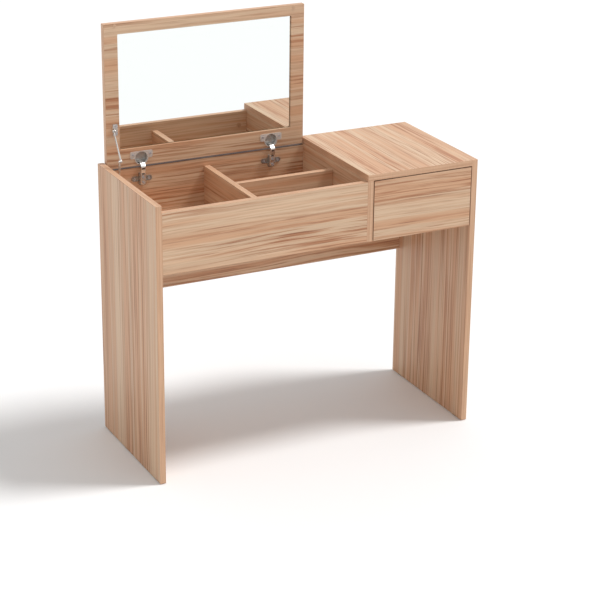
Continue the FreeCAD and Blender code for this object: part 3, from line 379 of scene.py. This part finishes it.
def arm_slots(finish, middle):
    """1 inside the two slots of a hinge arm whose pin is at `middle`, 0 elsewhere: where painted shade
    goes.
    """
    beside = abs(finish.x - float(middle[0])).rise(ARM_SLOT_HALF * MM, (ARM_SLOT_HALF - 0.5) * MM)
    height = finish.z - float(middle[2])
    slots = [height.rise(low * MM, (low + 0.5) * MM) * height.rise(high * MM, (high - 0.5) * MM)
             for low, high in ARM_SLOTS]
    return beside * (slots[0] + slots[1])


GLASS_RIM = (1.6 * MM, 0.9 * MM)  # the ground rim's inner edge, where it starts and where it is full


def silvered_glass(name, low, high):
    """A mirror: a clean silver back under glass, a little green, duller at its ground rim."""
    finish = Finish(name)
    haze = finish.noise(finish.place, scale=9.0, detail=3.0)
    gaps = []
    for wire, axis in ((finish.x, 0), (finish.z, 2)):
        middle = (low[axis] + high[axis]) / 2
        gaps.append((high[axis] - low[axis]) / 2 - abs(wire - middle))
    rim = gaps[0].math("MINIMUM", *gaps).rise(*GLASS_RIM)
    base = finish.mix(rim * 0.5, srgb(243, 246, 245), srgb(176, 200, 190))
    return finish.end(
        Base_Color=base,
        Metallic=1.0,
        Roughness=haze * 0.012 + rim * 0.12,
    )


SKIN_FINER = 22  # how much finer the skin is than the mottle


def mottled(name, tint, other, scale, roughness, grain=0.03, distance=0.03 * MM, **constants):
    """A matt moulded or pressed material with a soft mottle and a fine skin."""
    finish = Finish(name)
    soft = finish.noise(finish.place, scale=scale, detail=4.0, roughness=0.6)
    fine = finish.noise(finish.place, scale=scale * SKIN_FINER, detail=3.0)
    base = finish.mix(soft.rise(0.35, 0.65), tint, other)
    return finish.end(
        Base_Color=base,
        Roughness=roughness - grain + fine * (2 * grain),
        Normal=finish.bump(fine, distance, 0.6),
        **constants,
    )


def dress(node, material):
    """Gives a frame node this material in place of its own."""
    slots = frame["nodes"][node].data.materials
    slots.clear()
    slots.append(material)


# ---- shapes --------------------------------------------------------------------------------------------
ARM_LINE = (  # the arm's middle line from its eye to its tail: millimetres behind and above the pin
    (2.4, 0.0), (-11.6, 0.0), (-21.6, -7.0), (-21.6, -17.3), (-16.8, -27.5), (-16.8, -58.2))
ARM_BEND = 3.2
ARM_SECTION = (13.0, 4.4)
ARM_EDGE = 1.3
ARM_EYE_WIDTH = 10.0
ARM_EYE_ROUND = 2.6  # how far in front of the pin the eye's round end would close
ARM_MOUTH = -12.4  # the arm is narrow behind this place, inside the cup
ARM_LEG = (14.4, 7.0)
ARM_LEG_TOP = (-24.0, -29.0)
ARM_TAIL = (-54.0, -58.2)
ARM_TAIL_WIDTH = 6.4
ARM_SLOTS = ((-15.3, -10.8), (-30.0, -25.5))
ARM_SLOT_HALF = 4.0
ARM_SLOT_DEPTH = 2.0
SLOT_EDGE = (0.4, 0.3)  # a slot's sloped edge, outside and inside its outline
ARM_RINGS = 240
ARM_POINTS = 96
LINK_BAR = 5.6
LINK_BAR_LOW = 6.8
LINK_EYES = (3.7, 4.2)
LINK_EDGE = 1.0
LINK_REACH = 0.995  # the first and last rings lie just inside the eyes' ends, to keep some width
LINK_RINGS = 180
LINK_POINTS = 48
CORNER_POINTS = 13


def box_middle(node):
    low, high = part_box(node)
    return (np.array(low) + np.array(high)) / 2


def ramp(values, low, high):
    """0 at `low`, 1 at `high` and a smooth cubic between: t * t * (3 - 2 t)."""
    t = np.clip((values - low) / (high - low), 0, 1)
    return t * t * (3 - 2 * t)


def rounded_line(corners, radius, count, closed=False):
    """Evenly spaced points along straight runs whose corners are rounded.

    Each corner b is replaced by the curve a (1-t)^2 + 2 b t (1-t) + c t^2, where a and c lie on the two
    runs, `radius` from b.
    """
    corners = np.array(corners)
    before = np.roll(corners, 1, axis=0) - corners
    after = np.roll(corners, -1, axis=0) - corners
    start = corners + before * (radius / np.linalg.norm(before, axis=1, keepdims=True))
    end = corners + after * (radius / np.linalg.norm(after, axis=1, keepdims=True))
    t = np.linspace(0, 1, CORNER_POINTS)[None, :, None]
    curves = start[:, None] * (1 - t) ** 2 + 2 * corners[:, None] * t * (1 - t) + end[:, None] * t ** 2
    if closed:
        line = np.concatenate([curves.reshape(-1, 2), curves[0, :1]])
    else:
        line = np.concatenate([corners[:1], curves[1:-1].reshape(-1, 2), corners[-1:]])
    gone = np.concatenate([[0], np.cumsum(np.linalg.norm(np.diff(line, axis=0), axis=1))])
    places = np.linspace(0, gone[-1], count, endpoint=not closed)
    return np.stack([np.interp(places, gone, line[:, axis]) for axis in range(2)], -1)


def rounded_section(width, thick, radius, count):
    """Points round a rectangle with rounded corners, centred on zero, its width along the first axis."""
    w, t = width / 2, thick / 2
    return rounded_line([(w, -t), (w, t), (-w, t), (-w, -t)], radius, count, closed=True)


def swept(line, section, wide, thick):
    """A section carried along a line in the Y-Z plane, as rings of points in the line's units.

    Point = line + (section's first * wide) along X + (section's second * thick) along the line's normal,
    which is its direction turned a quarter clockwise as seen from +X.
    """
    along = np.gradient(line, axis=0)
    along /= np.linalg.norm(along, axis=1, keepdims=True)
    normal = np.stack([along[:, 1], -along[:, 0]], -1)
    off = section[None, :, 1] * thick
    yz = line[:, None] + normal[:, None] * off[..., None]
    x = np.broadcast_to(section[None, :, 0] * wide, yz.shape[:2])
    return np.concatenate([x[..., None], yz], -1)


def goose_neck(middle):
    """A hinge arm: a rounded strip along its bent line, wider and thicker at the leg, with two slots.

    The slots press the outer face in by a smooth step across and along the strip.
    """
    line = rounded_line(ARM_LINE, ARM_BEND, ARM_RINGS)
    section = rounded_section(*ARM_SECTION, ARM_EDGE, ARM_POINTS)
    y, z = line[:, :1], line[:, 1:]
    leg = ramp(z, *ARM_LEG_TOP)
    tail = ramp(z, *ARM_TAIL)
    width = ARM_EYE_WIDTH + (ARM_SECTION[0] - ARM_EYE_WIDTH) * ramp(y, ARM_MOUTH, ARM_MOUTH - 1.0)
    width = width + (ARM_LEG[0] - ARM_SECTION[0]) * leg + (ARM_TAIL_WIDTH - ARM_LEG[0]) * tail
    thick = ARM_SECTION[1] + (ARM_LEG[1] - ARM_SECTION[1]) * leg
    thick = thick * np.sqrt(1 - np.clip(y / ARM_EYE_ROUND, 0, 1) ** 2)
    wide = width / ARM_SECTION[0]
    deep = thick / ARM_SECTION[1]
    out, into = SLOT_EDGE
    pressed = sum(ramp(z, low - out, low + into) * ramp(z, high + out, high - into)
                  for low, high in ARM_SLOTS)
    inside = ramp(abs(section[None, :, 0]) * wide, ARM_SLOT_HALF + into, ARM_SLOT_HALF - into)
    outer = ramp(-section[None, :, 1], 0.0, ARM_SECTION[1] / 2)
    deep = deep - pressed * inside * outer * ARM_SLOT_DEPTH * 2 / ARM_SECTION[1]
    return swept(line, section, wide, deep) * MM + middle


def stay_link(left, right):
    """The stay's upper link: a rounded bar on the line between its rivets, with round eyes at both ends.

    Its half width is the larger of the bar's, which grows evenly towards the elbow, and the circle's about
    each rivet, sqrt(r^2 - s^2).
    """
    a = box_middle("stay_lid_rivet")[1:] / MM
    b = box_middle("stay_elbow_rivet")[1:] / MM
    span = np.linalg.norm(b - a)
    high, low = LINK_EYES
    s = np.linspace(-high * LINK_REACH, span + low * LINK_REACH, LINK_RINGS)
    line = a + (b - a) * (s / span)[:, None]
    rounds = (np.clip(high ** 2 - s ** 2, 0, None), np.clip(low ** 2 - (s - span) ** 2, 0, None))
    circle = np.sqrt(rounds[0]) + np.sqrt(rounds[1])
    bar = np.where((s > 0) & (s < span), np.interp(s, [0, span], [LINK_BAR, LINK_BAR_LOW]), 0)
    half = np.maximum(circle, bar / 2)
    section = rounded_section((right - left) / MM, LINK_BAR, LINK_EDGE, LINK_POINTS)
    points = swept(line, section, 1.0, half[:, None] * 2 / LINK_BAR)
    return points * MM + np.array([(left + right) / 2, 0.0, 0.0])


def solid_piece(name, rings, material):
    """A closed tube through rings of points, with a flat face at each end."""
    count, places = rings.shape[:2]
    ring = np.arange(count - 1)[:, None] * places
    place = np.arange(places)[None, :]
    after = (place + 1) % places
    sides = np.stack([ring + place, ring + after, ring + places + after, ring + places + place], -1)
    last = (count - 1) * places
    ends = [np.arange(places)[::-1].tolist(), (last + np.arange(places)).tolist()]
    mesh = bpy.data.meshes.new(name)
    mesh.from_pydata(rings.reshape(-1, 3).tolist(), [], sides.reshape(-1, 4).tolist() + ends)
    mesh.polygons.foreach_set("use_smooth", np.ones(len(mesh.polygons), bool))
    mesh.materials.append(material)
    piece = bpy.data.objects.new(name, mesh)
    bpy.context.scene.collection.objects.link(piece)
    return piece


# ---- operators -----------------------------------------------------------------------------------------
GRAIN = {
    "left_side_panel": 2,
    "right_side_panel": 2,
    "drawer_top": 1,
    "drawer_divider": 1,
    "front_panel": 0,
    "rear_panel": 0,
    "box_floor": 0,
    "long_tray_divider": 1,
    "cross_tray_divider": 0,
    "lid_board": 0,
    "drawer_front": 0,
    "drawer_left_side": 1,
    "drawer_right_side": 1,
    "drawer_back": 0,
}
LID_RELIEF = 3.5 * MM  # the rear panel is this much lower under the lid
CUP_GLOSS = 0.38
CUP_SHADE_DEPTH = 10 * MM  # the depth behind the mirror face at which the cup's painted shade is darkest
# how far painted shade darkens the cup at that depth
CUP_SHADE = 0.4
WING_GLOSS = 0.6
WING_SHADE = 0.62  # painted shade: the whole plate is darkened this much towards the shade tint
NECK_GLOSS = 0.86


class VANITY_OT_laminate(bpy.types.Operator):
    """Give every board its own stretch of printed wood grain"""

    bl_idname = "vanity.laminate"
    bl_label = "Laminated Boards"

    def execute(self, context):
        settings = context.scene.vanity_laminate
        # painted shade: the dark strips on the rear panel and round the drawer's front stand for shadowed
        # gaps
        strips = {"rear_panel": (settings.raw_edge_and_gap_shade, settings.raw_chips_and_gap_shade),
                  "drawer_front": (settings.front_band_gap_shade, settings.front_band_gap_shade_grain)}
        for seed, (node, grain) in enumerate(GRAIN.items()):
            low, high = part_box(node)
            relief = None
            if node == "rear_panel":
                relief = (high[2] - LID_RELIEF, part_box("drawer_divider")[0][0])
            dress(node, laminate("laminate_" + node, low, high, grain, 1.0 + seed, settings,
                                 strip=strips.get(node), relief=relief))
        return {"FINISHED"}


class VANITY_OT_mirror(bpy.types.Operator):
    """Silver the mirror and finish its tape and the lid's rubber dots"""

    bl_idname = "vanity.mirror"
    bl_label = "Mirror"

    def execute(self, context):
        dress("mirror_glass", silvered_glass("silvered_glass", *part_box("mirror_glass")))
        dress("mirror_tape", mottled("foam_tape", srgb(236, 236, 230), srgb(222, 222, 214), 400.0, 0.8))
        dress("lid_bumpers", mottled("clear_rubber", srgb(212, 178, 148), srgb(202, 166, 134), 120.0, 0.35))
        return {"FINISHED"}


class VANITY_OT_hinges(bpy.types.Operator):
    """Plate the hinges and draw their goose-neck arms as bent steel with rounded edges and slots"""

    bl_idname = "vanity.hinges"
    bl_label = "Hinges"

    def execute(self, context):
        metal = context.scene.vanity_metal
        look = {"tint": metal.nickel, "roughness": metal.nickel_roughness}
        mirror_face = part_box("lid_board")[0][1]
        # painted shade inside the cup, darker the deeper it lies behind the mirror face
        cup = plated(
            "cup_plate", gloss=CUP_GLOSS, **look,
            painted_shade=lambda finish: finish.y.rise(mirror_face, mirror_face + CUP_SHADE_DEPTH) * CUP_SHADE)
        # painted shade over the whole wing plate
        wing = plated("wing_plate", gloss=WING_GLOSS, **look, painted_shade=lambda finish: WING_SHADE)
        dress("hinge_pins", cup)
        pin = box_middle("hinge_pins")
        for side in ("left", "right"):
            dress(side + "_hinge_cup", cup)
            dress(side + "_hinge_plate", wing)
            node = side + "_hinge_arm"
            middle = np.array([box_middle(node)[0], pin[1], pin[2]])
            # painted shade inside the arm's two slots
            neck = plated(side + "_neck_plate", gloss=NECK_GLOSS, **look,
                          painted_shade=lambda finish: arm_slots(finish, middle))
            arm = solid_piece(side + "_goose_neck", goose_neck(middle), neck)
            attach(arm, "carcass")
            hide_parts(node)
        return {"FINISHED"}


class VANITY_OT_stay(bpy.types.Operator):
    """Plate the lid's stay and draw its upper link as a rolled bar that widens into two eyes"""

    bl_idname = "vanity.stay"
    bl_label = "Lid Stay"

    def execute(self, context):
        metal = context.scene.vanity_metal
        plate = plated("stay_plate", metal.stay, metal.nickel_roughness)
        for node in ("stay_lower_arm", "stay_elbow_rivet", "stay_lid_rivet", "stay_side_rivet",
                     "stay_lid_bracket", "stay_side_bracket"):
            dress(node, plate)
        low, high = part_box("stay_upper_arm")
        link = solid_piece("stay_upper_link", stay_link(low[0], high[0]), plate)
        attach(link, "stay_upper")
        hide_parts("stay_upper_arm")
        return {"FINISHED"}


class VANITY_OT_fasteners(bpy.types.Operator):
    """Finish screws, cam locks, dowels, slides and glides"""

    bl_idname = "vanity.fasteners"
    bl_label = "Slides and Fasteners"

    def execute(self, context):
        metal = context.scene.vanity_metal
        zinc = plated("zinc_plate", metal.zinc, metal.zinc_roughness)
        rolled = plated("rolled_steel", metal.rolled, metal.zinc_roughness, brushed=0.8)
        hardboard = mottled("hardboard", srgb(158, 122, 92), srgb(140, 104, 76), 260.0, 0.6)
        beech = mottled("beech", srgb(214, 178, 134), srgb(198, 158, 114), 180.0, 0.65)
        plastic = mottled("brown_plastic", srgb(92, 72, 58), srgb(84, 65, 52), 300.0, 0.5)
        finishes = {"zinc": zinc, "slide_steel": rolled, "hardboard": hardboard, "beech_dowel": beech,
                    "glide_plastic": plastic}
        for part in frame["record"]["subparts"]:
            if part["material_slot"] in finishes:
                dress(part["node"], finishes[part["material_slot"]])
        dress("cam_locks", mottled("cap_film", srgb(204, 166, 134), srgb(192, 150, 118), 320.0, 0.5))
        return {"FINISHED"}


class VANITY_OT_stage(bpy.types.Operator):
    """Put the table on a plain pale floor with soft studio light and a camera"""

    bl_idname = "vanity.stage"
    bl_label = "Stage"

    def execute(self, context):
        stage = context.scene.vanity_stage
        scene = context.scene
        floor = floor_sheet(stage)
        room(stage)
        key_light(stage)
        data = bpy.data.cameras.new("studio_camera")
        data.lens = stage.lens
        data.sensor_width = 36.0
        data.shift_x = CAMERA_SHIFT[0]
        data.shift_y = CAMERA_SHIFT[1]
        camera = bpy.data.objects.new("studio_camera", data)
        scene.collection.objects.link(camera)
        camera.matrix_world = camera_pose()
        data.clip_start = 0.1
        data.clip_end = 50.0
        scene.camera = camera
        scene.view_settings.view_transform = "Standard"
        return {"FINISHED"}


KEY_DIRECTION = (0.5, -0.16, 0.85)  # from the table towards the light
FLOOR_REACH = 12.0
CAMERA_SHIFT = (0.020, -0.020)
CAMERA_PLACE = (-2.1151, -4.2237, 2.2281)
CAMERA_PITCH = 21.243
CAMERA_ROLL = 0.5
CAMERA_YAW = 26.607


def camera_pose():
    """The camera's place and turn, from its yaw to the right, its pitch down and its roll, in degrees."""
    pitch, roll, yaw = (math.radians(v) for v in (CAMERA_PITCH, CAMERA_ROLL, CAMERA_YAW))
    forward = Vector((math.sin(yaw) * math.cos(pitch), math.cos(yaw) * math.cos(pitch), -math.sin(pitch)))
    right = Vector((math.cos(yaw), -math.sin(yaw), 0.0))
    up = right.cross(forward)
    turned_right = right * math.cos(roll) + up * math.sin(roll)
    turned_up = up * math.cos(roll) - right * math.sin(roll)
    turn = Matrix((turned_right, turned_up, -forward)).transposed().to_4x4()
    return Matrix.Translation(CAMERA_PLACE) @ turn


def floor_sheet(stage):
    """A wide flat sheet just under the glides."""
    steps = np.linspace(-FLOOR_REACH, FLOOR_REACH, 9)
    x, y = np.meshgrid(steps, steps)
    points = np.stack([x, y, np.full_like(x, CAD_BOX[0].z)], -1)
    mesh = bpy.data.meshes.new("floor")
    n = len(steps)
    i = np.arange(n - 1)
    corner = (i[:, None] * n + i[None, :]).ravel()
    faces = np.stack([corner, corner + 1, corner + n + 1, corner + n], -1)
    mesh.from_pydata(points.reshape(-1, 3).tolist(), [], faces.tolist())
    floor = bpy.data.objects.new("floor", mesh)
    bpy.context.scene.collection.objects.link(floor)
    finish = Finish("pale_floor")
    soft = finish.noise(finish.place, scale=3.0, detail=2.0)
    base = finish.mix(soft * 0.03, stage.floor, srgb(240, 240, 242))
    mesh.materials.append(finish.end(Base_Color=base, Roughness=0.7))
    return floor


def room(stage):
    """White surroundings, bright to look at and softer as light on matt surfaces."""
    world = bpy.data.worlds.new("studio_room")
    bpy.context.scene.world = world
    world.use_nodes = True
    tree = world.node_tree
    tree.nodes.clear()
    path = tree.nodes.new("ShaderNodeLightPath")
    strength = tree.nodes.new("ShaderNodeMapRange")
    strength.inputs[3].default_value = 1.0
    strength.inputs[4].default_value = stage.room_light
    tree.links.new(path.outputs["Is Diffuse Ray"], strength.inputs[0])
    shade = tree.nodes.new("ShaderNodeBackground")
    tree.links.new(strength.outputs[0], shade.inputs["Strength"])
    shade.inputs["Color"].default_value = (1.0, 1.0, 1.0, 1.0)
    out = tree.nodes.new("ShaderNodeOutputWorld")
    tree.links.new(shade.outputs[0], out.inputs[0])


def key_light(stage):
    """One broad light from the upper right front."""
    data = bpy.data.lights.new("key_light", "SUN")
    data.energy = stage.key_strength
    data.angle = math.radians(stage.key_spread)
    lamp = bpy.data.objects.new("key_light", data)
    bpy.context.scene.collection.objects.link(lamp)
    lamp.location = KEY_DIRECTION
    lamp.rotation_euler = (-Vector(KEY_DIRECTION)).to_track_quat("-Z", "Y").to_euler()


class VANITY_PT_panel(bpy.types.Panel):
    """Sidebar panel that lists the steps and their settings"""

    bl_label = "Vanity Table"
    bl_idname = "VANITY_PT_panel"
    bl_space_type = "VIEW_3D"
    bl_region_type = "UI"
    bl_category = "Vanity"

    def draw(self, context):
        for operator in OPERATORS:
            self.layout.operator(operator.bl_idname)
        for key, group in SETTINGS.items():
            box = self.layout.box()
            box.label(text=group.__doc__)
            for name in group.__annotations__:
                box.prop(getattr(context.scene, key), name)


SETTINGS = {
    "vanity_laminate": LaminateSettings,
    "vanity_metal": MetalSettings,
    "vanity_stage": StageSettings,
}
OPERATORS = (VANITY_OT_laminate, VANITY_OT_mirror, VANITY_OT_hinges, VANITY_OT_stay, VANITY_OT_fasteners,
             VANITY_OT_stage)


def register():
    for made in (*SETTINGS.values(), *OPERATORS, VANITY_PT_panel):
        bpy.utils.register_class(made)
    for key, group in SETTINGS.items():
        setattr(bpy.types.Scene, key, bpy.props.PointerProperty(type=group))


def unregister():
    for key in SETTINGS:
        delattr(bpy.types.Scene, key)
    for made in (VANITY_PT_panel, *reversed(OPERATORS), *reversed(SETTINGS.values())):
        bpy.utils.unregister_class(made)


def main():
    register()
    for operator in OPERATORS:
        family, step = operator.bl_idname.split(".")
        getattr(getattr(bpy.ops, family), step)()


if __name__ == "__main__":
    main()
